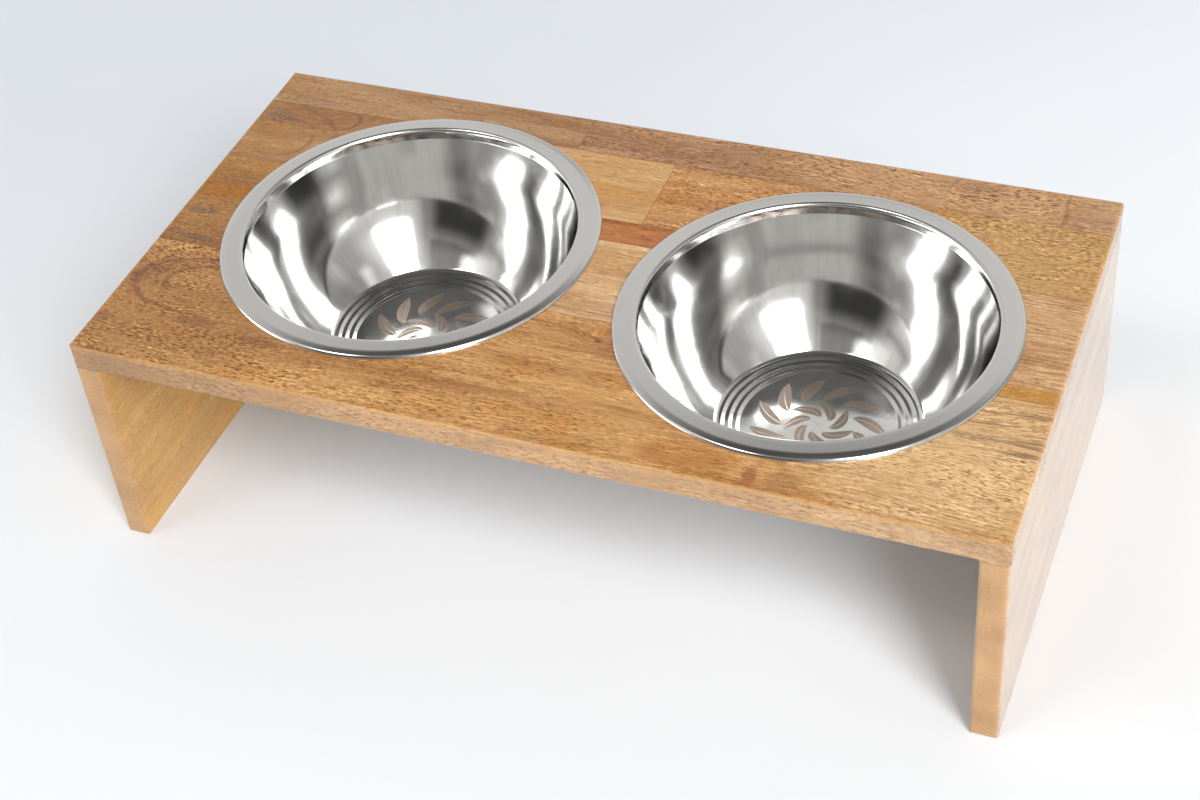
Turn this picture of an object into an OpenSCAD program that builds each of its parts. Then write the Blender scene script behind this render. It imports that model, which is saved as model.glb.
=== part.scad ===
// Raised pet feeding stand: an edge-glued wooden bench that carries two lift-out pressed steel bowls.
// Units are millimetres. The origin is on the floor under the middle of the bench, +X runs along the
// bench, +Y to its back edge and +Z up.

/* [Bench] */
// Length of the bench along X
top_length = 457; // [411:1:560]
// Depth of the bench from its front edge to its back edge
top_depth = 240; // [216:1:280]
// Thickness of the staves of the top
top_thick = 13.5; // [11:0.5:22]
// Height of the upper face of the top above the floor
top_height = 127.5; // [100:0.5:250]
// Thickness of the leg boards
leg_thick = 13.5; // [10:0.5:22]
// Radius of the four upright corners
corner_r = 3; // [1:0.5:8]
// Radius sanded along the other outer edges
ease_r = 1.75; // [0.5:0.25:4]

/* [Staves] */
// Depth of the back row of staves
back_row = 28; // [20:0.5:34]
// Depth of the rear row of staves, next to the back row
rear_row = 51; // [40:0.5:60]
// Depth of the band of short staves between the rear row and the front plank
middle_band = 74; // [60:0.5:84]
// Depth of the narrow strip at the back of the band, between the bowls
strip_depth = 16.5; // [10:0.5:30]
// Depth of the rear one of the two staves at the left end of the band
left_split = 38; // [20:0.5:54]
// Distance of the left butt joint in the back row from the left end
back_joint_left = 180.5; // [138.5:1:208.5]
// Distance of the right butt joint in the back row from the right end
back_joint_right = 25.5; // [20.5:1:78.5]
// Distance of the butt joint in the rear row to the right of the middle between the bowls
rear_joint = 3; // [-7:1:11]

/* [Leg dowels] */
// Diameter of a dowel
dowel_d = 6; // [5:0.5:8]
// Depth that a dowel reaches up into the top
dowel_in_top = 8; // [6:0.5:9]
// Depth that a dowel reaches down into a leg
dowel_in_leg = 16; // [10:0.5:24]
// Number of dowels in each leg
dowel_count = 4; // [2:1:6]
// Distance of the outer dowels from the front and back edges
dowel_inset = 36; // [24:1:40]
// Gap between a dowel and the side of its hole
dowel_clearance = 0.05; // [0.02:0.01:0.2]
// Gap left for glue beyond each end of a dowel
glue_gap = 0.5; // [0.2:0.1:1]
// Chamfer round each end of a dowel
dowel_chamfer = 0.8; // [0.4:0.1:1.2]

/* [Bowl places] */
// Distance of the left bowl to the right of its place in an even spacing
left_bowl_x = 4.7; // [-4:0.1:8]
// Wood between the hole of the left bowl and the back row
left_bowl_y = 1.7; // [0.7:1:11.7]
// Distance of the right bowl to the right of its place in an even spacing
right_bowl_x = 2; // [-4:1:6]
// Wood between the hole of the right bowl and the back row
right_bowl_y = 10.7; // [1.7:1:12.7]
// Gap all round between the neck of a bowl and its hole
hole_clearance = 1; // [0.5:0.1:2.5]

/* [Bowls] */
// Outer diameter of the rolled rim
rim_d = 192; // [170:0.5:214]
// Depth inside, from the top of the lip to the base
bowl_depth = 70.8; // [50:0.1:85]
// Thickness of the sheet
sheet = 0.8; // [0.6:0.1:1.2]
// Width of the flange, from the rolled edge to the neck
flange_w = 11.2; // [8:0.2:14]
// Height of the rolled edge above the wood that it stands on
rim_rise = 1.7; // [1.6:0.1:5]
// Rise of the flange from the rolled edge to the lip
flange_rise = 1.6; // [0:0.1:2.5]
// Width of the outer band of the flange, which falls more steeply
crown_w = 3.2; // [2.4:0.1:4.5]
// Share of the flange's rise that lies in its outer band
crown_share = 0.6; // [0.3:0.05:0.9]
// Bend radius between the outer band and the rest of the flange
crown_bend = 8; // [3:0.5:12]
// Bend radius of the rolled edge, as far as its height has room for it
edge_bend = 1.6; // [1.2:0.1:1.9]
// Bend radius of the lip where the flange turns down into the neck
lip_bend = 2.4; // [1.2:0.1:2.5]
// Height of the straight neck below the top of the lip
neck_h = 6.2; // [4:0.1:9]
// Bend radius of the crease between the neck and the wall
crease_bend = 1.2; // [0.8:0.1:4]
// Angle between the wall below the neck and a straight line from the neck to the foot
neck_swell = 13; // [6:1:18]
// Angle between the wall above the foot and a straight line from the foot to the neck
foot_swell = 18; // [8:1:24]
// Bend radius of the belly of the wall, as far as the wall has room for it
belly_bend = 86; // [40:1:120]
// Bend radius where the wall turns into the base, as far as the ledge there has room for it
foot_bend = 4.2; // [2:0.1:8]

/* [Base rings] */
// Diameter of the flat disc in the middle of the base
disc_d = 77; // [60:0.5:84]
// Number of ring steps pressed round the disc
ring_count = 3; // [1:1:4]
// Distance from one ring step to the next
ring_pitch = 3.7; // [3:0.1:5]
// Width of the slope of a ring step
ring_slope = 1.7; // [1:0.1:2]
// Height of a ring step
ring_step = 0.7; // [0.3:0.1:1.2]
// Bend radius of the ring steps
ring_bend = 0.9; // [0.5:0.1:1.2]
// Ledge between the last ring step and the wall
foot_ledge = 2.8; // [1:0.1:5]

/* [Hidden] */
$fn = 96;

// Lines along X that bound the rows of staves
back_y = top_depth / 2;
back_line = back_y - back_row;
rear_line = back_line - rear_row;
front_line = rear_line - middle_band;
front_y = -top_depth / 2;
strip_line = rear_line - strip_depth;
left_line = rear_line - left_split;

// Ends of the bench, the plane where the legs meet the top, and the middle of a leg
right_x = top_length / 2;
left_x = -right_x;
joint_z = top_height - top_thick;
leg_x = right_x - leg_thick / 2;

// Middle line of the bowl's sheet, with heights measured from the wood under the rim
edge_r = rim_d / 2 - sheet / 2;
neck_r = edge_r - flange_w;
rim_z = rim_rise - sheet / 2;
lip_z = rim_z + flange_rise;
crown_r = edge_r - crown_w;
crown_z = rim_z + flange_rise * crown_share;
neck_z = lip_z + sheet / 2 - neck_h;
base_z = lip_z - bowl_depth;
disc_r = disc_d / 2;
foot_r = disc_r + (ring_count - 1) * ring_pitch + ring_slope + foot_ledge;
foot_z = base_z + ring_count * ring_step;
hole_r = neck_r + sheet / 2 + hole_clearance;
ring_turn = atan2(ring_step, ring_slope);

// Swelling wall: a triangle on the straight line from the foot to the neck, rounded at its belly
wall_run = norm([neck_r - foot_r, neck_z - foot_z]);
wall_turn = atan2(neck_z - foot_z, neck_r - foot_r);
belly_turn = neck_swell + foot_swell;
foot_turn = wall_turn - foot_swell;
neck_turn = 90 - wall_turn - neck_swell;
belly_out = wall_run * sin(neck_swell) / sin(belly_turn);
belly_up = wall_run * sin(foot_swell) / sin(belly_turn);
belly_r = foot_r + belly_out * cos(foot_turn);
belly_z = foot_z + belly_out * sin(foot_turn);

// Largest bends that the ledge, the wall and the rolled edge have room for
foot_room = (foot_ledge - ring_bend * tan(ring_turn / 2)) / tan(foot_turn / 2);
foot_round = min(foot_bend, foot_room);
belly_room = min(belly_out - foot_round * tan(foot_turn / 2), belly_up - crease_bend * tan(neck_turn / 2))
    / tan(belly_turn / 2);
edge_room = 0.95 * rim_z / tan(45 - atan2(crown_z - rim_z, crown_w) / 2);

// Centres of the bowls: in an even spacing the wood at each end equals the wood between the rims,
// and behind each hole there is its own wood up to the back row
even_gap = (top_length - 2 * rim_d) / 3;
even_x = (rim_d + even_gap) / 2;
left_centre = [left_bowl_x - even_x, back_line - left_bowl_y - hole_r];
right_centre = [right_bowl_x + even_x, back_line - right_bowl_y - hole_r];

// Butt joints along the rows
back_left_x = left_x + back_joint_left;
back_right_x = right_x - back_joint_right;
rear_x = (left_centre[0] + right_centre[0]) / 2 + rear_joint;

// Largest turn between two points of a bend, in degrees, and largest length of the flat between them
bend_step = 12;
bend_flat = 5;

// Corners of the middle line from the axis out to the rolled edge, each as [radius, height, bend]
ring_corners = [for (i = [0:ring_count - 1]) let (r = disc_r + i * ring_pitch, z = base_z + i * ring_step)
    each [[r, z, ring_bend], [r + ring_slope, z + ring_step, ring_bend]]];
sheet_path = concat(
    [[0, base_z, 0]],
    ring_corners,
    [[foot_r, foot_z, foot_round], [belly_r, belly_z, min(belly_bend, belly_room)],
     [neck_r, neck_z, crease_bend], [neck_r, lip_z, lip_bend], [crown_r, crown_z, crown_bend],
     [edge_r, rim_z, min(edge_bend, edge_room)], [edge_r, 0, 0]]);

// Plane geometry of a sheet that is bent along a line of corners
function place(corner) = [corner[0], corner[1]];
function heading(from, to) = let (run = place(to) - place(from)) run / norm(run);
function left_of(v) = [-v[1], v[0]];
function turned(v, angle) = v * cos(angle) + left_of(v) * sin(angle);
function turn_angle(u, v) = atan2(u[0] * v[1] - u[1] * v[0], u * v);

// Points of one bend, at the distance side to the left of the middle line
function bend(before, corner, after, side) =
    let (u = heading(before, corner),
         angle = turn_angle(u, heading(corner, after)),
         r = sign(angle) * corner[2],
         start = place(corner) - u * corner[2] * tan(abs(angle) / 2),
         centre = start + left_of(u) * r,
         steps = max(2, ceil(abs(angle) / bend_step), ceil(abs(r * angle) * PI / 180 / bend_flat)))
    [for (i = [0:steps]) centre - (r - side) * left_of(turned(u, angle * i / steps))];

// One side of the sheet, from its first corner to its last
function sheet_side(path, side) =
    let (last = len(path) - 1)
    concat(
        [place(path[0]) + left_of(heading(path[0], path[1])) * side],
        [for (i = [1:last - 1]) each bend(path[i - 1], path[i], path[i + 1], side)],
        [place(path[last]) + left_of(heading(path[last - 1], path[last])) * side]);

function reversed(list) = [for (i = [len(list) - 1:-1:0]) list[i]];

// Rectangle with true round corners
module rounded_rect(width, height, r) {
    square([width - 2 * r, height], center = true);
    square([width, height - 2 * r], center = true);
    for (sx = [-1, 1], sy = [-1, 1])
        translate([sx * (width / 2 - r), sy * (height / 2 - r)]) circle(r);
}

// Outer form of the whole bench, sanded round on its corners and edges after it is glued up
module sanded_bench() {
    translate([0, 0, top_height / 2])
        intersection() {
            linear_extrude(top_height, center = true)
                rounded_rect(top_length, top_depth, corner_r);
            rotate([90, 0, 0]) linear_extrude(top_depth, center = true)
                rounded_rect(top_length, top_height, ease_r);
            rotate([90, 0, 90]) linear_extrude(top_length, center = true)
                rounded_rect(top_depth, top_height, ease_r);
        }
}

// What is sanded off the underside of the top along its front and back, between the legs
module lower_edges() {
    span = top_length - 2 * leg_thick;
    for (side = [0, 1])
        mirror([0, side, 0])
            translate([-span / 2, front_y, joint_z])
                rotate([90, 0, 90])
                    linear_extrude(span)
                        difference() {
                            square(ease_r);
                            translate([ease_r, ease_r]) circle(ease_r);
                        }
}

module bowl_holes() {
    for (centre = [left_centre, right_centre])
        translate([centre[0], centre[1], top_height - 1.5 * top_thick])
            cylinder(h = 2 * top_thick, r = hole_r);
}

// Does something at the place of each dowel of the leg at x
module at_dowels(x) {
    pitch = (top_depth - 2 * dowel_inset) / (dowel_count - 1);
    for (i = [0:dowel_count - 1])
        translate([x, front_y + dowel_inset + i * pitch, joint_z]) children();
}

module dowel_holes() {
    for (side = [-1, 1])
        at_dowels(side * leg_x)
            translate([0, 0, -dowel_in_leg - glue_gap])
                cylinder(h = dowel_in_leg + dowel_in_top + 2 * glue_gap, r = dowel_d / 2 + dowel_clearance);
}

// One stave of the top, between two places along X and two lines across it
module stave(from_x, to_x, from_y, to_y) {
    difference() {
        intersection() {
            sanded_bench();
            translate([from_x, from_y, joint_z])
                cube([to_x - from_x, to_y - from_y, top_thick]);
        }
        lower_edges();
        bowl_holes();
        dowel_holes();
    }
}

// A leg board, whose inner edges are eased like those of the bench
module leg(x) {
    difference() {
        intersection() {
            sanded_bench();
            translate([x, 0, 0])
                linear_extrude(joint_z) rounded_rect(leg_thick, top_depth, ease_r);
            translate([x, 0, joint_z / 2 + ease_r]) rotate([90, 0, 0])
                linear_extrude(top_depth, center = true)
                    rounded_rect(leg_thick, joint_z + 2 * ease_r, ease_r);
        }
        dowel_holes();
    }
}

module dowels(x) {
    r = dowel_d / 2;
    top = dowel_in_top;
    end = -dowel_in_leg;
    c = dowel_chamfer;
    at_dowels(x)
        rotate_extrude()
            polygon([[0, end], [r - c, end], [r, end + c], [r, top - c], [r - c, top], [0, top]]);
}

// Pressed bowl: a sheet bent along sheet_path and turned about the axis of its hole
module bowl(centre) {
    translate([centre[0], centre[1], top_height])
        rotate_extrude()
            polygon(concat(sheet_side(sheet_path, sheet / 2), reversed(sheet_side(sheet_path, -sheet / 2))));
}

module back_stave_left() {
    color("#a8743f") stave(left_x, back_left_x, back_line, back_y);
}

module back_stave_middle() {
    color("#8f5f38") stave(back_left_x, back_right_x, back_line, back_y);
}

module back_stave_right() {
    color("#a06a3c") stave(back_right_x, right_x, back_line, back_y);
}

module rear_stave_left() {
    color("#a87038") stave(left_x, left_centre[0], rear_line, back_line);
}

module rear_stave_middle() {
    color("#c8954f") stave(left_centre[0], rear_x, rear_line, back_line);
}

module rear_stave_right() {
    color("#b87f40") stave(rear_x, right_x, rear_line, back_line);
}

module left_stave_rear() {
    color("#b9803c") stave(left_x, left_centre[0], left_line, rear_line);
}

module left_stave_front() {
    color("#9f6b3b") stave(left_x, left_centre[0], front_line, left_line);
}

module middle_strip() {
    color("#b4622a") stave(left_centre[0], right_centre[0], strip_line, rear_line);
}

module middle_stave() {
    color("#cf9d62") stave(left_centre[0], right_centre[0], front_line, strip_line);
}

module right_stave() {
    color("#bd8a52") stave(right_centre[0], right_x, front_line, rear_line);
}

module front_plank() {
    color("#bb8246") stave(left_x, right_x, front_y, front_line);
}

module left_leg() {
    color("#c08a4e") leg(-leg_x);
}

module right_leg() {
    color("#c79562") leg(leg_x);
}

module left_dowels() {
    color("#e0c79a") dowels(-leg_x);
}

module right_dowels() {
    color("#e0c79a") dowels(leg_x);
}

module left_bowl() {
    color("#c9ccce") bowl(left_centre);
}

module right_bowl() {
    color("#c9ccce") bowl(right_centre);
}

back_stave_left();
back_stave_middle();
back_stave_right();
rear_stave_left();
rear_stave_middle();
rear_stave_right();
left_stave_rear();
left_stave_front();
middle_strip();
middle_stave();
right_stave();
front_plank();
left_leg();
right_leg();
left_dowels();
right_dowels();
left_bowl();
right_bowl();
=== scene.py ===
# %% [markdown]
# # A raised feeding stand with two lift-out bowls
# The stand is a low bench, glued up from staves of brown hardwood, with two pressed steel bowls that hang
# in round holes by their flanges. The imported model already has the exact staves, legs and dowels, so this
# lesson keeps them and gives them timber. Only the bowls are made again, because a mirror finish shows
# every facet of a coarse mesh.

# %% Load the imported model
import math
from types import SimpleNamespace

import bpy
from mathutils import Matrix, Vector


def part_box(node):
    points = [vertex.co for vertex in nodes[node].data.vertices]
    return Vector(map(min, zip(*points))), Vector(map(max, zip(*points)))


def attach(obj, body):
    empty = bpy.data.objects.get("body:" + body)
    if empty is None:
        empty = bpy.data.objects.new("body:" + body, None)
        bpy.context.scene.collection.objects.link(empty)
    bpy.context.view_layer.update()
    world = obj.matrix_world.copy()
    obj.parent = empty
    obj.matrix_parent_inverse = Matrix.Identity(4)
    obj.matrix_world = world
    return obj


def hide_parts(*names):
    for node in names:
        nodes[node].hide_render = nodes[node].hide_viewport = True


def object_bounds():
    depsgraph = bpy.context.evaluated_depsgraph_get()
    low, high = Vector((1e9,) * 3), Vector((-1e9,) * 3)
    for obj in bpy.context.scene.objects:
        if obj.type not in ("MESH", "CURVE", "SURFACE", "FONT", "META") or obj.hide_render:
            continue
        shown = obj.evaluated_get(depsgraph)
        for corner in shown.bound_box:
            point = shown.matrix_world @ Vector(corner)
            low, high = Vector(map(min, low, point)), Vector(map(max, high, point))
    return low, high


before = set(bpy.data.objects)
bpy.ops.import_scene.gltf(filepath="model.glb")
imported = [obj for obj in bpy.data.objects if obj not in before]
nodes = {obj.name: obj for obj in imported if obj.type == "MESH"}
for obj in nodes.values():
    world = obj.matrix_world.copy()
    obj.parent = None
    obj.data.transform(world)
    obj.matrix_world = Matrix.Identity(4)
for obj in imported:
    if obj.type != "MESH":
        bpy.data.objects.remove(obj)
scene = bpy.context.scene
scene.view_settings.view_transform = "Standard"
cad_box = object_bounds()
low, high = cad_box
wood_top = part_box("front_plank")[1].z
print("loaded", len(nodes), "pieces, box", [round(v * 1000, 1) for v in high - low], "mm")

# %% [markdown]
# ## Node trees as plain arithmetic
# Timber and polished steel are layers of noise, masks and mixes. Wired by hand in the node editor they
# turn into a web that nobody reads, so one small class holds a socket and answers to +, -, * and /. Each
# sign adds a Math node. One method makes every other node. The same class serves shaders and Geometry
# Nodes, because both take Math nodes.

# %% A socket that can be calculated with
def find(sockets, key):
    """A socket by its index, or by its identifier or name."""
    if isinstance(key, int):
        return sockets[key]
    return next(s for s in sockets if key in (s.identifier, s.name))


class Wire:
    """A socket of a node tree; arithmetic on it adds the nodes for that arithmetic."""

    def __init__(self, tree, socket=None):
        self.tree, self.socket = tree, socket

    def node(self, kind, settings=None, inputs=None, out=0):
        """Adds any other node: its type, its settings, then the values or links of its sockets."""
        new = self.tree.nodes.new(kind)
        for name, value in (settings or {}).items():
            setattr(new, name, value)
        for key, value in (inputs or {}).items():
            if isinstance(value, Wire):
                self.tree.links.new(value.socket, find(new.inputs, key))
            else:
                find(new.inputs, key).default_value = value
        return Wire(self.tree, find(new.outputs, out))

    def also(self, out):
        """Another output of the same node."""
        return Wire(self.tree, find(self.socket.node.outputs, out))

    def math(self, operation, *others):
        return self.node("ShaderNodeMath", {"operation": operation}, dict(enumerate((self, *others))))

    def ramp(self, start, end):
        """0 at start and 1 at end, with a smooth rise between them."""
        return self.node("ShaderNodeMapRange", {"interpolation_type": "SMOOTHSTEP"},
                         {"Value": self, "From Min": start, "From Max": end})

    def __add__(self, other):
        return self.math("ADD", other)

    def __sub__(self, other):
        return self.math("SUBTRACT", other)

    def __rsub__(self, other):
        return self.node("ShaderNodeMath", {"operation": "SUBTRACT"}, {0: other, 1: self})

    def __mul__(self, other):
        return self.math("MULTIPLY", other)

    def __truediv__(self, other):
        return self.math("DIVIDE", other)

    def __pow__(self, other):
        return self.math("POWER", other)

    __radd__, __rmul__ = __add__, __mul__


print("sockets can be calculated with")

# %% Short names for common nodes
def vector(x, y, z):
    """A vector out of three values, at least one of which is a socket."""
    tree = next(v for v in (x, y, z) if isinstance(v, Wire))
    return tree.node("ShaderNodeCombineXYZ", {}, {0: x, 1: y, 2: z})


def noise(at, detail=2.0, roughness=0.5):
    return at.node("ShaderNodeTexNoise", {}, {"Vector": at, "Scale": 1.0, "Detail": detail,
                                              "Roughness": roughness}, "Fac")


def mix(mask, first, second, mode="MIX"):
    """Colour first where mask is 0, and second where it is 1. One of the three at least is a socket."""
    tree = next(v for v in (mask, first, second) if isinstance(v, Wire))
    pair = {key: colour if isinstance(colour, Wire) else (*colour, 1.0)
            for key, colour in (("A_Color", first), ("B_Color", second))}
    return tree.node("ShaderNodeMix", {"data_type": "RGBA", "blend_type": mode},
                     {"Factor_Float": mask, **pair}, "Result_Color")


def new_material(name):
    """An empty material, and its Object coordinates."""
    material = bpy.data.materials.new(name)
    material.use_nodes = True
    material.node_tree.nodes.clear()
    return material, Wire(material.node_tree).node("ShaderNodeTexCoord", out="Object")


def finish_material(place, settings, links):
    """Ends a material in a Principled shader with these constant and varying sockets."""
    shader = place.node("ShaderNodeBsdfPrincipled", {}, {**settings, **links})
    output = place.tree.nodes.new("ShaderNodeOutputMaterial")
    place.tree.links.new(shader.socket, output.inputs["Surface"])


DEGREES = 180 / math.pi


def off_middle(angle, middle):
    """How far an angle is from a middle one in degrees, whichever way round."""
    return ((angle - middle + 540.0).math("FLOORED_MODULO", 360.0) - 180.0).math("ABSOLUTE")


print("node helpers ready")

# %% [markdown]
# ## Camera
# The photograph looks down on the stand from its right front corner. The place, aim and focal length were
# fitted to the edges of the bench and the rims of the bowls. The three axes of the camera go straight into
# its matrix, which keeps the small roll that a Track To constraint would lose.

# %% Camera
camera_data = bpy.data.cameras.new("camera")
camera_data.lens = 63.59
camera_data.sensor_width = 36.0
camera_data.clip_end = 50.0
camera = bpy.data.objects.new("camera", camera_data)
right = Vector((0.92998, 0.35878, -0.08012))
up = Vector((-0.18805, 0.65154, 0.73494))
back = Vector((0.31588, -0.66841, 0.67338))
camera.matrix_world = (Matrix.Translation((0.33483, -0.72403, 0.77175))
                       @ Matrix((right, up, back)).transposed().to_4x4())
scene.collection.objects.link(camera)
scene.camera = camera
print("camera at", [round(v, 3) for v in camera.location], "lens", camera_data.lens)

# %% [markdown]
# ## Floor and light
# Steel has no look of its own: it shows the room. So the room is painted in the world shader, as a grey
# studio with soft-edged panels given by compass angle and height: a large softbox in front on the right
# with a low lamp under it, a high and a low lamp at the left, an unlit stretch straight in front, and a dim
# ceiling. Each panel is a product of ramps. Area lamps would do as well, but the panels light the wood and
# show in the bowls from one list.

# %% Studio panels
world = bpy.data.worlds.new("studio")
world.use_nodes = True
world.node_tree.nodes.clear()
scene.world = world
aim = Wire(world.node_tree).node("ShaderNodeTexCoord", out="Generated")
aim_x = aim.node("ShaderNodeSeparateXYZ", {}, {0: aim})
compass = aim_x.math("ARCTAN2", aim_x.also("Y") * -1.0) * DEGREES
height = aim_x.also("Z").math("ARCSINE") * DEGREES


def panel(start, end, bottom, top, soft):
    """A mask over the room, between two compass angles and two heights in degrees."""
    middle, half = (start + end) / 2, (end - start) / 2
    across = off_middle(compass, middle).ramp(half + soft, half - soft)
    return across * height.ramp(bottom - soft, bottom + soft) * height.ramp(top + soft, top - soft)


LIT = (  # start, end, bottom, top, soft edge, added strength
    (32, 60, 28, 57, 5, 14.2),
    (38, 53, 0, 13, 2, 9.0),
    (40, 76, 24, 49, 12, 0.5),
    (-61, -37, 39, 68, 3, 0.45),
    (-51, -28, 50, 60, 8, 9.4),
    (-80, -55, -2, 16, 11, 5.0),
    (83, 95, 42, 49, 4, 0.6),
)
SHADED = (  # start, end, bottom, top, soft edge, share of the light taken away
    (-43, 17, 1, 43, 14, 0.94),
    (15, 20, 2, 60, 3, 0.31),
    (57, 105, 19, 54, 5, 0.40),
    (111, 148, 2, 61, 14, 0.53),
    (-99, -75, -16, 67, 5, 0.34),
    (-75, -43, 30, 32, 4, 0.93),
    (-150, -109, 22, 49, 3, 0.09),
    (-30, 14, 41, 57, 2, 0.54),
    (103, 133, 37, 68, 10, 0.53),
    (150, 262, 50, 80, 6, 0.60),
    (186, 204, 12, 28, 4, 0.35),
)
WALLS, CEILING = 0.77, 0.17  # strength of the grey room below 52 and above 67 degrees
glow = height.ramp(52.0, 67.0) * (CEILING - WALLS) + WALLS
for start, end, bottom, top, soft, share in SHADED:
    glow = glow * (1.0 - panel(start, end, bottom, top, soft) * share)
lamps = 0.0
for start, end, bottom, top, soft, strength in LIT:
    lamps = panel(start, end, bottom, top, soft) * strength + lamps
WARM = (1.0, 0.985, 0.95)  # the walls are a little warm, the lamps are white
room = vector(*(glow * share + lamps for share in WARM))
sky = room.node("ShaderNodeBackground", {}, {"Color": room, "Strength": 1.0})
world_output = world.node_tree.nodes.new("ShaderNodeOutputWorld")
world.node_tree.links.new(sky.socket, world_output.inputs["Surface"])
print("studio with", len(LIT), "lit and", len(SHADED), "shaded panels")

# %% Floor
floor_material, place = new_material("white_floor")
dust = noise(place.node("ShaderNodeMapping", {}, {"Vector": place, "Scale": (9, 9, 9)}), 3.0)
floor_x = place.node("ShaderNodeSeparateXYZ", {}, {0: place})
# painted shade: the floor darkens towards the back and the left, standing in for the light falling off away
# from the softbox at the front right
away = (floor_x.also("Y") - floor_x).ramp(-0.30, 0.75)
NEAR_WHITE, FAR_PAINTED_SHADE, DUST = (0.870, 0.900, 0.932), (0.655, 0.690, 0.740), (0.84, 0.845, 0.85)
white = mix(away, NEAR_WHITE, FAR_PAINTED_SHADE)
white = mix(dust.ramp(0.55, 0.75) * 0.10, white, DUST)
finish_material(place, {"Roughness": 0.55, "Specular IOR Level": 0.3}, {"Base Color": white})
bpy.ops.mesh.primitive_grid_add(x_subdivisions=2, y_subdivisions=2, size=8.0, location=(0, 0, 0))
floor = bpy.context.object
floor.name = "floor"
floor.data.materials.append(floor_material)
print("floor", floor.dimensions.x, "m wide")

# %% [markdown]
# ## Timber
# The staves are one species, cut from different trees: honey, straw, red-brown and dark brown, with short
# dark pores and a figure that wanders and closes into ovals near knots. Wood is solid, so the pattern is
# solid too. A line field runs across the grain. Noise bends it, and a hump added to it makes the lines
# close round a point, as they do over a knot. Bands, flecks, long threads and pores are noises read along
# that field and stretched along the grain. Because the field is three-dimensional, the end of a board shows
# the ends of the same streaks.

# %% Noises along the grain
def hump(a, b, centre, reach):
    """1 at the centre, falling to 0 at the reach along and across the grain."""
    far = ((a - centre[0]) / reach[0]) ** 2.0 + ((b - centre[1]) / reach[1]) ** 2.0
    return (1.0 - far).math("MAXIMUM", 0.0)


def grain_of(x, y, z, seed, run, wander, lines, swirls):
    """The line field of one board, and the noises that are read along it.

    a runs along the grain, b across it and c through the board. Their factors are spots per metre."""
    a, b, c = (x, y, z) if run == "x" else (y, z, x)
    bend = noise(vector(a * 6.0 + seed, b * 14.0, c * 14.0 + seed)) - 0.5
    ripple = noise(vector(a * 40.0, b * 60.0, c * 60.0 + seed)) - 0.5
    line = b + c * 0.4 + bend * wander + ripple * 0.0016
    for centre, reach, lift in swirls:
        line = line + hump(a, b, centre, reach) ** 2.0 * lift
    along = a.ramp(low.x, 0.02)
    fleck = noise(vector(a * 370.0 + seed, line * 980.0, c * 620.0), 2.0, 0.6)
    thread = noise(vector(a * 96.0 + seed, line * 940.0, c * 620.0), 3.0, 0.66)
    return SimpleNamespace(
        a=a, b=b, line=line, ripple=ripple, along=along,
        edge=b + bend * wander * 0.4 + ripple * 0.002,
        band=noise(vector(a * 4.0 + seed, line * 60.0, seed), 3.0),
        streak=noise(vector(a * 22.0, line * 300.0, seed + 5.0), 3.0, 0.6),
        patch=noise(vector(a * 26.0, b * 52.0, c * 52.0 + seed), 3.0),
        stroke=fleck + (thread - fleck) * (along * (lines[1] - lines[0]) + lines[0]),
        dash=noise(vector(a * 300.0 + seed, line * 1500.0, c * 900.0), 1.0),
        bunch=noise(vector(a * 48.0 + seed, line * 170.0, c * 120.0), 2.0).ramp(0.36, 0.64) * 1.2 + 0.45,
        blur=noise(vector(a * 48.0, line * 640.0, seed + 9.0), 3.0, 0.6) * 1.5,
        vein=noise(vector(a * 24.0 + seed, line * 560.0, seed + 13.0), 3.0, 0.55).ramp(0.52, 0.66))


print("grain ready")

# %% [markdown]
# ## Ground colour and marks
# Each board has a mean tone, with lighter and darker bands about it, golden patches and dark growth lines.
# Over that come the marks that make a board known: stains, ovals, thin veins and stripes. They could be
# painted on a picture. Here each is a place, a reach, a colour and a strength, so that a mark is one line
# in a table, and the noises break its outline.

# %% Ground colour
LIGHT, DARK, GOLDEN = (1.24, 1.30, 1.38), (0.74, 0.62, 0.50), (1.08, 0.94, 0.55)  # shares of the mean tone


def scaled(tone, shares, by=1.0):
    return tuple(value * share * by for value, share in zip(tone, shares))


def ground_colour(g, tone, contrast, gold, rings):
    """Light and dark bands, golden patches and growth lines about the mean tone."""
    mixed = (g.band * 0.40 + g.streak * 0.25 + g.patch * 0.35 - 0.5) * (5.0 * contrast) + 0.5
    colour = mix(mixed.math("MAXIMUM", 0.0).math("MINIMUM", 1.0), scaled(tone, LIGHT), scaled(tone, DARK))
    colour = mix(g.patch.ramp(0.48, 0.66) * gold, colour, scaled(tone, GOLDEN))
    ring = ((g.line * 105.0 + g.band * 0.9).math("FRACT") - 0.5).math("ABSOLUTE").ramp(0.36, 0.48)
    return mix(ring * g.streak.ramp(0.35, 0.65) * rings, colour, scaled(tone, DARK, 0.7))


print("ground colour ready")

# %% Marks
STRIPE_SOFT = 0.0015  # half the width of a stripe's soft edge
ARC_SOFT = 15  # degrees over which an arc fades at its ends


def arc(a, b, centre, reach, start, end, width):
    """A line along part of an ellipse, between two angles in degrees from the grain."""
    u, v = (a - centre[0]) / reach[0], (b - centre[1]) / reach[1]
    off = ((u * u + v * v).math("SQRT") - 1.0) * min(reach)
    middle, half = (start + end) / 2, (end - start) / 2
    swing = off_middle(v.math("ARCTAN2", u) * DEGREES, middle)
    return off.math("ABSOLUTE").ramp(width, width * 0.3) * swing.ramp(half + ARC_SOFT, half - ARC_SOFT)


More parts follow.
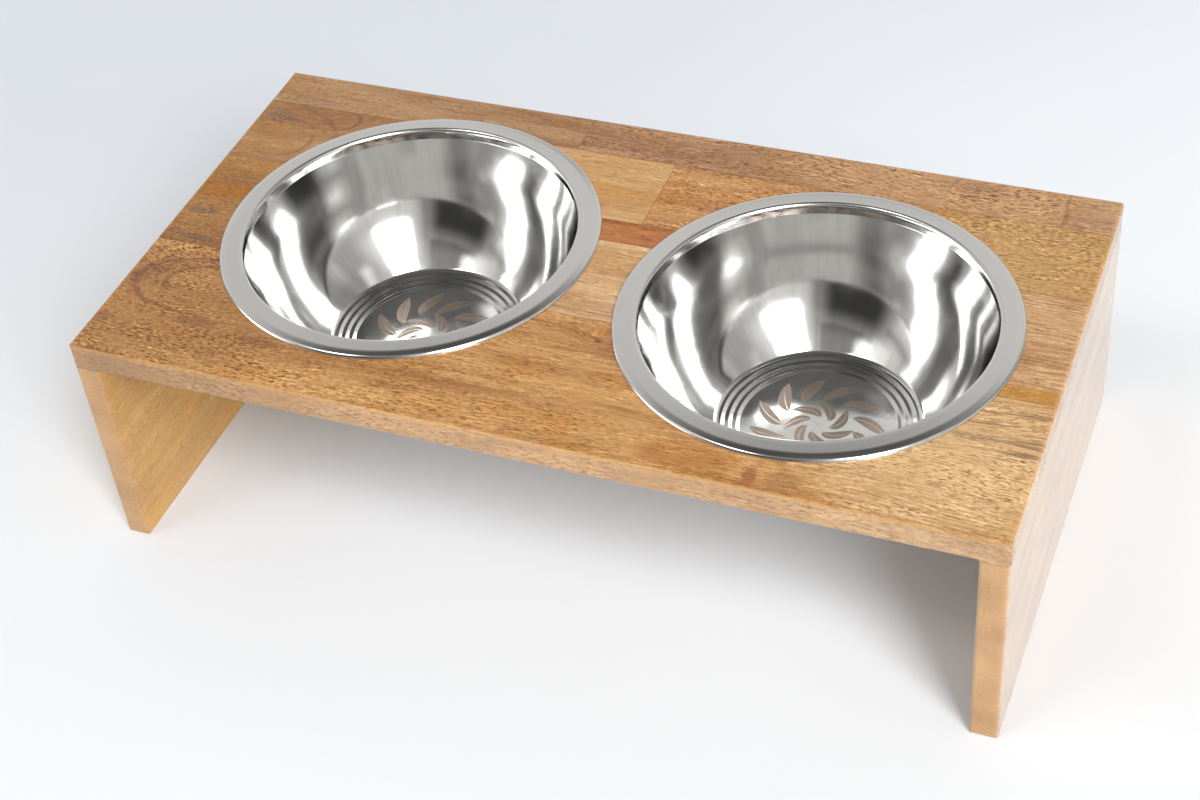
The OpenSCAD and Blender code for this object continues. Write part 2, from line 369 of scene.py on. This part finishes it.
def add_marks(colour, g, stains=(), arcs=(), veins=(), stripes=()):
    """Puts the marks of one board on its ground colour."""
    for centre, reach, tint, strength in stains:
        stain = (hump(g.a, g.b, centre, reach) * 1.6 - g.blur).ramp(-0.1, 0.7)
        colour = mix(stain * strength, colour, tint)
    for centre, reach, turns, width, tint, strength in arcs:
        drawn = arc(g.a + g.ripple * 0.006, g.b + g.ripple * 0.004, centre, reach, *turns, width)
        colour = mix(drawn * g.streak.ramp(0.28, 0.50) * strength, colour, tint)
    for centre, reach, tint, strength in veins:
        near = (hump(g.a, g.b, centre, reach) * 2.0).math("MINIMUM", 1.0)
        colour = mix(near * g.vein * strength, colour, tint)
    for start, end, tint, strength in stripes:
        rise = g.edge.ramp(start - STRIPE_SOFT, start + STRIPE_SOFT)
        fall = g.edge.ramp(end + STRIPE_SOFT, end - STRIPE_SOFT)
        colour = mix(rise * fall * strength, colour, tint)
    return colour


print("marks ready")

# %% [markdown]
# ## Joints, arrises and lacquer
# Glue shows as a thin dark line between boards. The eased arrises of the top catch the light as a pale band,
# and that band is a painted highlight. Both follow from where the board ends, so they are masks worked out
# from its box. A clear coat stands for the lacquer. It hardly shows from above, but the right end is seen at
# a glancing angle, where the coat mirrors the white floor and turns the wood pale. The right leg's pale tone
# adds some painted sheen to that.

# %% Joints and arrises
GLUE = (0.13, 0.06, 0.025)
NO_NEIGHBOUR = 0.003  # a board that ends this near to the end of the bench has no neighbour there
JOINT, LEG_JOINT = (0.0006, 0.0001), (0.0005, 0.0001)  # from the joint to where the line ends and is full
EDGE_HIGHLIGHT = (0.0024, 0.0008)  # from the arris to where the painted highlight band ends and is full


def glue_lines(piece, x, y, z):
    """A thin dark line where a board meets its neighbours, and none where it ends the bench."""
    start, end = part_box(piece)
    mask = (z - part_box("left_leg")[1].z).math("ABSOLUTE").ramp(*LEG_JOINT)
    for value, edge, bench_end in ((x, start.x, low.x), (x, end.x, high.x),
                                   (y, start.y, low.y), (y, end.y, high.y)):
        if abs(edge - bench_end) > NO_NEIGHBOUR:
            mask = mask.math("MAXIMUM", (value - edge).math("ABSOLUTE").ramp(*JOINT))
    return mask


def painted_edge_highlight(x, y, z):
    """A painted highlight band along the outer edges of the top, where their eased arrises catch the light.
    """
    inwards = (high.x - x.math("ABSOLUTE")).math("MINIMUM", high.y - y.math("ABSOLUTE"))
    return (inwards + (wood_top - z)).ramp(*EDGE_HIGHLIGHT) * z.ramp(wood_top - 0.004, wood_top - 0.002)


def front_face(x, y, z):
    """The front edge of a board, which is sawn along the grain and has a tone of its own."""
    return y.ramp(low.y + 0.0016, low.y + 0.0004)


def front_left(x, y, z):
    """The left part of the front edge, which is browner."""
    return front_face(x, y, z) * x.ramp(-0.04, -0.16)


print("joints and arrises ready")

# %% Timber material
LACQUER = {"Coat Weight": 1.0, "Coat Roughness": 0.16, "Coat IOR": 1.4, "IOR": 1.45,
           "Specular IOR Level": 0.10}
FACE_CALM = 0.35  # share of the strokes that a face with a tone of its own lacks
STROKES, PATCHES = 2.6, 0.9  # how much strokes and patches lighten or darken the ground
PORE_COVER, GLUE_COVER, EDGE_HIGHLIGHT_COVER = 0.75, 0.4, 0.3  # how much these hide the ground


def timber(piece, tone, seed, run="x", contrast=1.0, grain=(1.0, 1.0), lines=(0.45, 0.45), wander=0.012,
           gold=0.35, pores=0.8, rings=0.15, swirls=(), faces=(), **marks):
    """Timber for one board: its mean tone, its figure and its marks, in metres in the frame of the bench.

    grain is the strength of the fine strokes and lines the share of long threads among them, each at the
    left end and from the middle on. faces are walls of the board with a tone of their own."""
    material, place = new_material("timber_" + piece)
    x = place.node("ShaderNodeSeparateXYZ", {}, {0: place})
    y, z = x.also("Y"), x.also("Z")
    g = grain_of(x, y, z, seed, run, wander, lines, swirls)
    calm = g.along * (grain[1] - grain[0]) + grain[0]
    colour = add_marks(ground_colour(g, tone, contrast, gold, rings), g, **marks)
    for wall, tint, strength in faces:
        calm = calm * (1.0 - wall(x, y, z) * FACE_CALM)
        colour = mix(wall(x, y, z) * strength, colour, tint)
    shade = (g.stroke - 0.5) * g.bunch * calm * -STROKES + (g.patch - 0.5) * -PATCHES
    colour = mix(1.0, colour, vector(1.0 - shade * 0.8, 1.0 - shade, 1.0 - shade * 1.2), "MULTIPLY")
    pore = g.dash.ramp(0.53, 0.66) * (g.patch.ramp(0.36, 0.62) * 0.8 + 0.2) * calm * pores
    colour = mix(pore * PORE_COVER, colour, scaled(tone, DARK, 0.42))
    colour = mix(glue_lines(piece, x, y, z) * GLUE_COVER, colour, GLUE)
    # painted highlight: a pale band along the top's eased arrises, standing in for the light they catch
    colour = mix(painted_edge_highlight(x, y, z) * EDGE_HIGHLIGHT_COVER, colour, scaled(tone, LIGHT))
    relief = place.node("ShaderNodeBump", {}, {"Strength": 0.20, "Distance": 0.0004,
                                               "Height": g.stroke * 0.4 - pore * 0.6})
    rough = 0.46 + pore * 0.12 + (g.stroke - 0.5) * 0.2
    finish_material(place, LACQUER, {"Base Color": colour, "Roughness": rough, "Normal": relief})
    return material


def dress(boards):
    """Gives each of these nodes its own timber."""
    for piece, recipe in boards.items():
        slots = nodes[piece].data.materials
        slots.clear()
        slots.append(timber(piece, **recipe))
    print("timber on", ", ".join(boards))


print("timber recipe ready")

# %% [markdown]
# ## One recipe, sixteen pieces
# Every board gets its own tone and seed, so no two staves share a pattern, and then the marks that tell it
# apart: the closed ovals at the left, the small knot between the bowls, the bark pocket by the front edge,
# the orange band and the dark streaks on the short staves.

# %% Back and rear rows
RED_BROWN = (0.17, 0.065, 0.028)
GREY_BROWN = (0.17, 0.095, 0.058)
dress({
    "back_stave_left": dict(
        tone=(0.348, 0.188, 0.081), seed=3.1, contrast=1.5, grain=(0.75, 0.75), wander=0.02,
        stains=(((-0.206, 0.096), (0.024, 0.007), GREY_BROWN, 0.3),)),
    "back_stave_middle": dict(
        tone=(0.396, 0.215, 0.104), seed=8.4, grain=(1.45, 1.45), lines=(0.4, 0.6), wander=0.03, rings=0.3,
        stains=(((0.15, 0.106), (0.14, 0.06), (0.515, 0.283, 0.124), 0.8),
                ((0.155, 0.112), (0.030, 0.008), (0.30, 0.15, 0.085), 0.5))),
    "back_stave_right": dict(
        tone=(0.475, 0.289, 0.153), seed=12.9, contrast=1.45, grain=(1.2, 1.2), lines=(0.6, 0.6), pores=0.6,
        stains=(((0.204, 0.100), (0.0030, 0.011), (0.26, 0.09, 0.035), 0.6),
                ((0.210, 0.095), (0.008, 0.004), (0.33, 0.13, 0.055), 0.6))),
    "rear_stave_left": dict(
        tone=(0.370, 0.188, 0.070), seed=17.3, grain=(0.7, 0.7), wander=0.022, rings=0.25,
        swirls=(((-0.205, 0.066), (0.05, 0.034), 0.009),),
        arcs=(((-0.207, 0.062), (0.018, 0.016), (-110, 110), 0.0018, RED_BROWN, 0.45),
              ((-0.207, 0.062), (0.030, 0.026), (-60, 170), 0.0018, RED_BROWN, 0.35),
              ((-0.185, 0.084), (0.014, 0.009), (-60, 60), 0.0010, RED_BROWN, 0.6)),
        stains=(((-0.215, 0.079), (0.016, 0.009), GREY_BROWN, 0.5),)),
    "rear_stave_middle": dict(
        tone=(0.558, 0.320, 0.129), seed=21.7, contrast=1.05, grain=(0.75, 0.75), lines=(0.7, 0.7),
        wander=0.005, pores=0.5),
    "rear_stave_right": dict(
        tone=(0.477, 0.233, 0.078), seed=26.2, contrast=1.6, grain=(1.35, 1.35), lines=(0.4, 0.4),
        wander=0.02,
        arcs=(((0.200, 0.090), (0.021, 0.021), (-115, -5), 0.0009, RED_BROWN, 0.45),
              ((0.199, 0.092), (0.014, 0.015), (-125, 0), 0.0008, RED_BROWN, 0.35),
              ((0.201, 0.092), (0.029, 0.029), (-115, -35), 0.0007, RED_BROWN, 0.35)),
        stains=(((0.195, 0.062), (0.10, 0.07), (0.53, 0.309, 0.111), 0.75),)),
})

# %% Staves beside the bowls
dress({
    "left_stave_rear": dict(
        tone=(0.394, 0.190, 0.045), seed=30.8, contrast=1.2, wander=0.004,
        stains=(((-0.205, 0.020), (0.030, 0.0035), GREY_BROWN, 0.45),),
        stripes=((0.005, 0.019, (0.330, 0.113, 0.004), 0.85),)),
    "left_stave_front": dict(
        tone=(0.313, 0.141, 0.036), seed=35.5, contrast=1.5, grain=(1.15, 1.15), gold=0.2,
        stains=(((-0.216, -0.007), (0.016, 0.0035), GREY_BROWN, 0.7),
                ((-0.210, -0.028), (0.018, 0.0040), GREY_BROWN, 0.75),
                ((-0.196, -0.021), (0.012, 0.0030), GREY_BROWN, 0.4))),
    "middle_strip": dict(
        tone=(0.390, 0.137, 0.034), seed=39.4, contrast=1.2, lines=(0.7, 0.7), wander=0.006),
    "middle_stave": dict(
        tone=(0.588, 0.370, 0.192), seed=44.1, contrast=1.2, grain=(0.8, 0.8), lines=(0.75, 0.75), gold=0.2,
        pores=0.6),
    "right_stave": dict(
        tone=(0.492, 0.280, 0.123), seed=48.6, contrast=1.35, lines=(0.7, 0.7), wander=0.008, gold=0.15,
        pores=0.5,
        veins=(((0.205, -0.008), (0.08, 0.034), (0.25, 0.115, 0.055), 0.5),),
        stains=(((0.207, 0.024), (0.06, 0.030), (0.612, 0.374, 0.183), 0.7),),
        stripes=((-0.034, -0.024, (0.462, 0.210, 0.032), 0.9),)),
})

# %% Front plank
OVAL, OUTER_OVAL = (-0.183, -0.062), (-0.183, -0.063)
dress({
    "front_plank": dict(
        tone=(0.485, 0.246, 0.081), seed=53.2, contrast=1.5, grain=(1.55, 0.92), lines=(0.2, 0.65),
        wander=0.02, gold=0.45, pores=1.1, rings=0.2,
        swirls=(((-0.186, -0.062), (0.060, 0.034), 0.007), ((0.017, -0.047), (0.018, 0.010), 0.006)),
        arcs=((OUTER_OVAL, (0.040, 0.0210), (80, 200), 0.0016, RED_BROWN, 0.75),
              (OUTER_OVAL, (0.038, 0.0195), (150, 275), 0.0013, RED_BROWN, 0.70),
              (OVAL, (0.034, 0.0185), (95, 190), 0.0009, RED_BROWN, 0.45),
              (OVAL, (0.029, 0.0172), (120, 250), 0.0008, RED_BROWN, 0.40),
              (OVAL, (0.023, 0.0155), (80, 215), 0.0013, RED_BROWN, 0.70),
              (OVAL, (0.021, 0.0140), (190, 280), 0.0010, RED_BROWN, 0.55),
              ((0.154, -0.086), (0.074, 0.031), (-90, 0), 0.0010, (0.80, 0.55, 0.29), 0.5)),
        stains=(((-0.20, -0.075), (0.13, 0.08), (0.32, 0.139, 0.038), 0.6),
                ((0.19, -0.075), (0.11, 0.08), (0.735, 0.485, 0.238), 0.8),
                ((-0.214, -0.055), (0.014, 0.006), RED_BROWN, 0.55),
                ((-0.176, -0.087), (0.018, 0.006), RED_BROWN, 0.5),
                ((-0.139, -0.092), (0.018, 0.006), RED_BROWN, 0.45),
                ((-0.223, -0.095), (0.009, 0.005), RED_BROWN, 0.4),
                ((0.038, -0.048), (0.036, 0.018), (0.34, 0.145, 0.050), 0.8),
                ((0.017, -0.047), (0.0030, 0.0022), (0.15, 0.055, 0.022), 0.8),
                ((0.083, -0.108), (0.036, 0.016), (0.44, 0.185, 0.038), 0.8),
                ((0.128, -0.110), (0.014, 0.010), (0.38, 0.18, 0.065), 0.6),
                ((0.199, -0.061), (0.020, 0.0035), GREY_BROWN, 0.4),
                ((0.219, -0.067), (0.012, 0.0035), GREY_BROWN, 0.4),
                ((0.112, -0.112), (0.0055, 0.0095), (0.34, 0.12, 0.033), 0.85),
                ((-0.208, -0.1190), (0.024, 0.0030), (0.20, 0.065, 0.022), 0.95)),
        veins=(((0.200, -0.052), (0.060, 0.024), GREY_BROWN, 0.6),
               ((0.19, -0.095), (0.07, 0.030), (0.42, 0.20, 0.07), 0.25)),
        faces=((front_face, (0.47, 0.325, 0.195), 0.60), (front_left, (0.27, 0.140, 0.055), 0.6))),
})

# %% Legs and dowels
BARE_DOWEL = dict(tone=(0.74, 0.57, 0.34), contrast=0.4, gold=0.0)
dress({
    # The left leg's bright golden tone is partly painted light: it is raised so that its inner face comes
    # out bright in the shade of the top.
    "left_leg": dict(
        tone=(0.79, 0.455, 0.145), seed=61.5, run="y", contrast=0.5, grain=(0.5, 0.5), pores=0.4,
        faces=((front_face, (0.35, 0.205, 0.108), 0.80),)),
    # The right leg's pale, greyish tone is partly painted sheen: it is fitted to the outer face, which is
    # seen at a glancing angle through the glare of its lacquer.
    "right_leg": dict(
        tone=(0.560, 0.415, 0.310), seed=66.3, run="y", contrast=0.35, grain=(0.35, 0.35), pores=0.25,
        faces=((front_face, (0.46, 0.25, 0.095), 0.80),)),
    "left_dowels": dict(seed=71.0, **BARE_DOWEL),
    "right_dowels": dict(seed=73.0, **BARE_DOWEL),
})

# %% [markdown]
# ## Steel
# A bowl is drawn from one sheet and finished in two ways: the inside is polished to a mirror, the flange
# is turned with fine abrasive and stays satin. On the polished wall faint turning lines, dull smears and
# shallow waves of the sheet break up the reflections. The flat base carries a plain etched wreath of leaves
# in grey brown. It is drawn by its rule, in polar coordinates, so it needs no picture.

# %% Etched wreath
LEAF_RINGS = (  # leaves, radius of the ring, half the leaf's length and width, slant
    (11, 0.0255, 0.0085, 0.0042, 0.9),
    (7, 0.0115, 0.0062, 0.0036, -1.1),
)


def leaf_wreath(r, angle):
    """Two rings of slanted leaves about the middle of the base."""
    leaves = None
    for count, middle, reach, width, slant in LEAF_RINGS:
        step = 2 * math.pi / count
        along = (r - middle) / reach
        turn = (angle + along * (slant * step * 0.5)).math("FLOORED_MODULO", step) - step / 2
        off = (turn * r).math("ABSOLUTE")
        blade = (1.0 - along * along).math("MAXIMUM", 0.0) * width
        rib = off.ramp(0.0002, 0.0004) * 0.6 + 0.4
        leaf = (off - blade).ramp(0.0002, -0.0002) * rib
        leaves = leaf if leaves is None else leaves.math("MAXIMUM", leaf)
    return leaves


print("wreath of", " and ".join(str(ring[0]) for ring in LEAF_RINGS), "leaves")

# %% Polished and satin steel
ETCHED = (0.45, 0.335, 0.255)
BASE_FROM, BASE_TO = (0.0594, 0.0598), (0.0612, 0.0608)  # soft limits of the base's height, for the wreath


def bowl_steel(side, centre, satin):
    """Steel for one bowl, with its pattern turned about the bowl's own axis."""
    material, place = new_material(side + ("_flange_satin" if satin else "_bowl_polish"))
    own = place.node("ShaderNodeMapping", {}, {"Vector": place, "Location": (-centre.x, -centre.y, 0.0)})
    x = own.node("ShaderNodeSeparateXYZ", {}, {0: own})
    y, z = x.also("Y"), x.also("Z")
    r = (x * x + y * y).math("SQRT")
    angle = y.math("ARCTAN2", x)
    turned = noise(vector(r * 5200.0, z * 5200.0, angle * 2.5), 2.0)
    smear = noise(vector(x * 60.0, y * 60.0, z * 60.0), 3.0)
    if satin:
        colour = mix(turned, (0.66, 0.66, 0.655), (0.73, 0.73, 0.72))
        rough = 0.20 + (turned - 0.5) * 0.10 + (smear - 0.5) * 0.10
        waves = {"Strength": 0.12, "Distance": 0.00004, "Height": turned}
    else:
        etched = leaf_wreath(r, angle) * z.ramp(*BASE_TO) * z.ramp(*BASE_FROM)
        colour = mix(smear, (0.69, 0.69, 0.68), (0.78, 0.775, 0.765))
        streaks = noise(vector(angle * 24.0, z * 28.0, r * 28.0), 3.0, 0.6)
        colour = mix(streaks.ramp(0.42, 0.72) * 0.30, colour, (0.56, 0.57, 0.565))
        colour = mix(etched * 0.85, colour, ETCHED)
        rough = 0.085 + (turned - 0.5) * 0.04 + smear.ramp(0.45, 0.75) * 0.06 + etched * 0.32
        bulge = noise(vector(x * 26.0, y * 26.0, z * 14.0), 1.0) + turned * 0.012
        waves = {"Strength": 0.022, "Distance": 0.0012, "Height": bulge}
    relief = own.node("ShaderNodeBump", {}, waves)
    finish_material(place, {"Metallic": 1.0}, {"Base Color": colour, "Roughness": rough, "Normal": relief})
    return material


print("steel recipe ready")

# %% [markdown]
# ## Bowls
# A pressed bowl is a bent line turned about an axis: a flat disc, three ring steps, a ledge, a swelling
# wall, a short neck, the flange and its rolled edge. The corners of that line follow from a few
# sizes, so Geometry Nodes place them as points, join them in order and round each corner with its own
# bend radius, which travels as the radius of the point. A grid then reads the line by its columns and
# turns about the axis by its rows. Solidify gives the sheet its thickness.

# %% Sizes of a bowl
SIZES = {
    "Rim radius": 0.096, "Depth": 0.0707, "Sheet": 0.0008, "Flange width": 0.0112, "Rim rise": 0.0017,
    "Flange rise": 0.0015, "Crown width": 0.0032, "Crown share": 0.6, "Neck height": 0.0062,
    "Neck swell": math.radians(13), "Foot swell": math.radians(18),
    "Disc radius": 0.0385, "Rings": 3, "Ring pitch": 0.0037, "Ring slope": 0.0017, "Ring step": 0.0007,
    "Foot ledge": 0.0028, "Edge bend": 0.0016, "Crown bend": 0.008, "Lip bend": 0.0014,
    "Crease bend": 0.0012, "Belly bend": 0.086, "Foot bend": 0.0042, "Ring bend": 0.0009,
    "Loop spacing": 0.002, "Turns": 224,
}
print("a bowl has", len(SIZES), "sizes")

# %% Corners of the line
FOOT, BELLY, NECK, LIP, CROWN, EDGE, HEM = (90.0 + step for step in range(7))  # order, after the rings


def flange_of(s):
    """Radii and heights of the flange's inner lip and outer edge."""
    edge_r = s["Rim radius"] - s["Sheet"] / 2.0
    rim_z = s["Rim rise"] - s["Sheet"] / 2.0
    return SimpleNamespace(edge_r=edge_r, neck_r=edge_r - s["Flange width"], rim_z=rim_z,
                           lip_z=rim_z + s["Flange rise"])


def corners_of(s, entry, flange, index):
    """The corners of the line as points, from the middle of the base to the hem."""
    def corner(order, r, z, bend, count=1):
        points = entry.node("GeometryNodePoints", {},
                            {"Count": count, "Position": vector(r, 0.0, z), "Radius": bend})
        return points.node("GeometryNodeStoreNamedAttribute", {"data_type": "FLOAT", "domain": "POINT"},
                           {"Geometry": points, "Name": "order", "Value": order})

    neck_z = flange.lip_z + s["Sheet"] / 2.0 - s["Neck height"]
    base_z = flange.lip_z - s["Depth"]
    foot_r = s["Disc radius"] + (s["Rings"] - 1.0) * s["Ring pitch"] + s["Ring slope"] + s["Foot ledge"]
    foot_z = base_z + s["Rings"] * s["Ring step"]
    rise, reach = neck_z - foot_z, flange.neck_r - foot_r
    foot_lean = rise.math("ARCTAN2", reach) - s["Foot swell"]
    swell = s["Neck swell"].math("SINE") / (s["Neck swell"] + s["Foot swell"]).math("SINE")
    belly_run = (rise * rise + reach * reach).math("SQRT") * swell
    belly_r = foot_r + belly_run * foot_lean.math("COSINE")
    belly_z = foot_z + belly_run * foot_lean.math("SINE")
    crown_z = flange.rim_z + s["Flange rise"] * s["Crown share"]
    ring = (index / 2.0).math("FLOOR")
    upper = index - ring * 2.0
    return [
        corner(0.0, 0.0, base_z, 0.0),
        corner(index + 1.0, s["Disc radius"] + ring * s["Ring pitch"] + upper * s["Ring slope"],
               base_z + (ring + upper) * s["Ring step"], s["Ring bend"], s["Rings"] * 2.0),
        corner(FOOT, foot_r, foot_z, s["Foot bend"]),
        corner(BELLY, belly_r, belly_z, s["Belly bend"]),
        corner(NECK, flange.neck_r, neck_z, s["Crease bend"]),
        corner(LIP, flange.neck_r, flange.lip_z, s["Lip bend"]),
        corner(CROWN, flange.edge_r - s["Crown width"], crown_z, s["Crown bend"]),
        corner(EDGE, flange.edge_r, flange.rim_z, s["Edge bend"]),
        corner(HEM, flange.edge_r, 0.0, 0.0),
    ]


print("corners ready")

# %% The bent line
BEND_POINTS = 18  # points that round one corner


def bent_line(s, entry, flange):
    """The corners joined in their order, rounded, and cut where a stretch is long."""
    index = entry.node("GeometryNodeInputIndex")
    joined = entry.tree.nodes.new("GeometryNodeJoinGeometry")
    for part in corners_of(s, entry, flange, index):
        entry.tree.links.new(part.socket, joined.inputs[0])
    order = entry.node("GeometryNodeInputNamedAttribute", {"data_type": "FLOAT"}, {"Name": "order"})
    line = entry.node("GeometryNodePointsToCurves", {},
                      {0: Wire(entry.tree, joined.outputs[0]), "Weight": order})
    line = line.node("GeometryNodeFilletCurve", {"mode": "POLY"},
                     {"Curve": line, "Count": BEND_POINTS, "Limit Radius": True,
                      "Radius": entry.node("GeometryNodeInputRadius")})
    length = entry.node("GeometryNodeSplineParameter", out="Length")
    after = entry.node("GeometryNodeFieldAtIndex", {"data_type": "FLOAT", "domain": "POINT"},
                       {"Index": index + 1.0, "Value": length})
    cuts = ((after - length) / s["Loop spacing"]).math("FLOOR").math("MAXIMUM", 0.0)
    return line.node("GeometryNodeSubdivideCurve", {}, {"Curve": line, "Cuts": cuts})


print("bent line ready")

# %% The line turned about its axis
WELD = 0.00002  # points nearer than this, on the axis and at the seam, become one


def turned_shell(s, spot, line):
    """A grid with a column for each point of the line and a row for each step round the axis."""
    columns = line.node("GeometryNodeAttributeDomainSize", {"component": "CURVE"}, {0: line}, "Point Count")
    grid = line.node("GeometryNodeMeshGrid", {},
                     {"Size X": columns - 1.0, "Size Y": s["Turns"],
                      "Vertices X": columns, "Vertices Y": s["Turns"] + 1.0}, "Mesh")
    spot_x = spot.node("ShaderNodeSeparateXYZ", {}, {0: spot})
    column = (spot_x + (columns - 1.0) / 2.0).math("ROUND")
    turn = (spot_x.also("Y") / s["Turns"] + 0.5) * (2 * math.pi)
    read = line.node("GeometryNodeSampleIndex", {"data_type": "FLOAT_VECTOR", "domain": "POINT"},
                     {"Geometry": line, "Value": spot, "Index": column})
    swung = read.node("ShaderNodeVectorRotate", {"rotation_type": "Z_AXIS"}, {"Vector": read, "Angle": turn})
    swung = swung.node("ShaderNodeVectorMath", {"operation": "ADD"}, {0: swung, 1: s["Centre"]})
    shell = grid.node("GeometryNodeSetPosition", {}, {"Geometry": grid, "Position": swung})
    shell = shell.node("GeometryNodeMergeByDistance", {}, {"Geometry": shell, "Distance": WELD})
    return shell.node("GeometryNodeSetShadeSmooth", {}, {"Geometry": shell})


def on_flange(s, spot, flange):
    """1 on the satin flange, from the roll of its lip to the roll of its edge."""
    at = spot.node("ShaderNodeVectorMath", {"operation": "SUBTRACT"}, {0: spot, 1: s["Centre"]})
    at_x = at.node("ShaderNodeSeparateXYZ", {}, {0: at})
    out = (at_x * at_x + at_x.also("Y") * at_x.also("Y")).math("SQRT")
    over_lip = at_x.also("Z").math("GREATER_THAN", flange.lip_z - s["Lip bend"] * 0.7)
    past_neck = out.math("GREATER_THAN", flange.neck_r + s["Lip bend"])
    short_of_edge = out.math("LESS_THAN", flange.edge_r - s["Edge bend"] * 0.7)
    return over_lip.math("MAXIMUM", past_neck) * short_of_edge


print("turned shell ready")

# %% Node tree of a bowl
def bowl_tree(polish, satin):
    """The tree of one bowl, and the identifiers of its inputs by name."""
    tree = bpy.data.node_groups.new("pressed_bowl", "GeometryNodeTree")
    ids = {}
    for name, value in {**SIZES, "Centre": (0.0, 0.0, 0.0)}.items():
        kind = {int: "NodeSocketInt", float: "NodeSocketFloat"}.get(type(value), "NodeSocketVector")
        ids[name] = tree.interface.new_socket(name, in_out="INPUT", socket_type=kind).identifier
    tree.interface.new_socket("Geometry", in_out="OUTPUT", socket_type="NodeSocketGeometry")
    entry = Wire(tree).node("NodeGroupInput")
    s = {name: entry.also(name) for name in ids}
    flange = flange_of(s)
    spot = entry.node("GeometryNodeInputPosition")
    shell = turned_shell(s, spot, bent_line(s, entry, flange))
    shell = shell.node("GeometryNodeRealizeInstances", {}, {"Geometry": shell})
    shell = shell.node("GeometryNodeSetMaterial", {}, {"Geometry": shell, "Material": polish})
    shell = shell.node("GeometryNodeSetMaterial", {},
                       {"Geometry": shell, "Selection": on_flange(s, spot, flange), "Material": satin})
    leave = tree.nodes.new("NodeGroupOutput")
    tree.links.new(shell.socket, leave.inputs[0])
    return tree, ids


print("bowl tree ready")

# %% The two bowls
SHARP = math.radians(50)  # edges that turn more than this aren't shaded smooth


def make_bowl(side):
    """A bowl as one plain mesh, in its hole, riding on its own body."""
    first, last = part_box(side + "_bowl")
    centre = Vector(((first.x + last.x) / 2, (first.y + last.y) / 2, wood_top))
    tree, ids = bowl_tree(bowl_steel(side, centre, False), bowl_steel(side, centre, True))
    seed_object = bpy.data.objects.new("seed", bpy.data.meshes.new("seed"))
    scene.collection.objects.link(seed_object)
    turn = seed_object.modifiers.new("turn", "NODES")
    turn.node_group = tree
    for name, value in {**SIZES, "Centre": tuple(centre)}.items():
        turn[ids[name]] = value
    sheet = seed_object.modifiers.new("sheet", "SOLIDIFY")
    sheet.thickness, sheet.offset, sheet.use_even_offset = SIZES["Sheet"], 0.0, True
    depsgraph = bpy.context.evaluated_depsgraph_get()
    mesh = bpy.data.meshes.new_from_object(seed_object.evaluated_get(depsgraph))
    bpy.data.objects.remove(seed_object)
    mesh.set_sharp_from_angle(angle=SHARP)
    bowl = bpy.data.objects.new(side + "_bowl_pressed", mesh)
    scene.collection.objects.link(bowl)
    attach(bowl, side + "_bowl")
    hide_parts(side + "_bowl")
    spots = [v.co for v in mesh.vertices]
    print(bowl.name, len(mesh.polygons), "faces, heights", round(min(p.z for p in spots) * 1000, 2), "to",
          round(max(p.z for p in spots) * 1000, 2), "CAD", round(first.z * 1000, 2), round(last.z * 1000, 2))


for side in ("left", "right"):
    make_bowl(side)
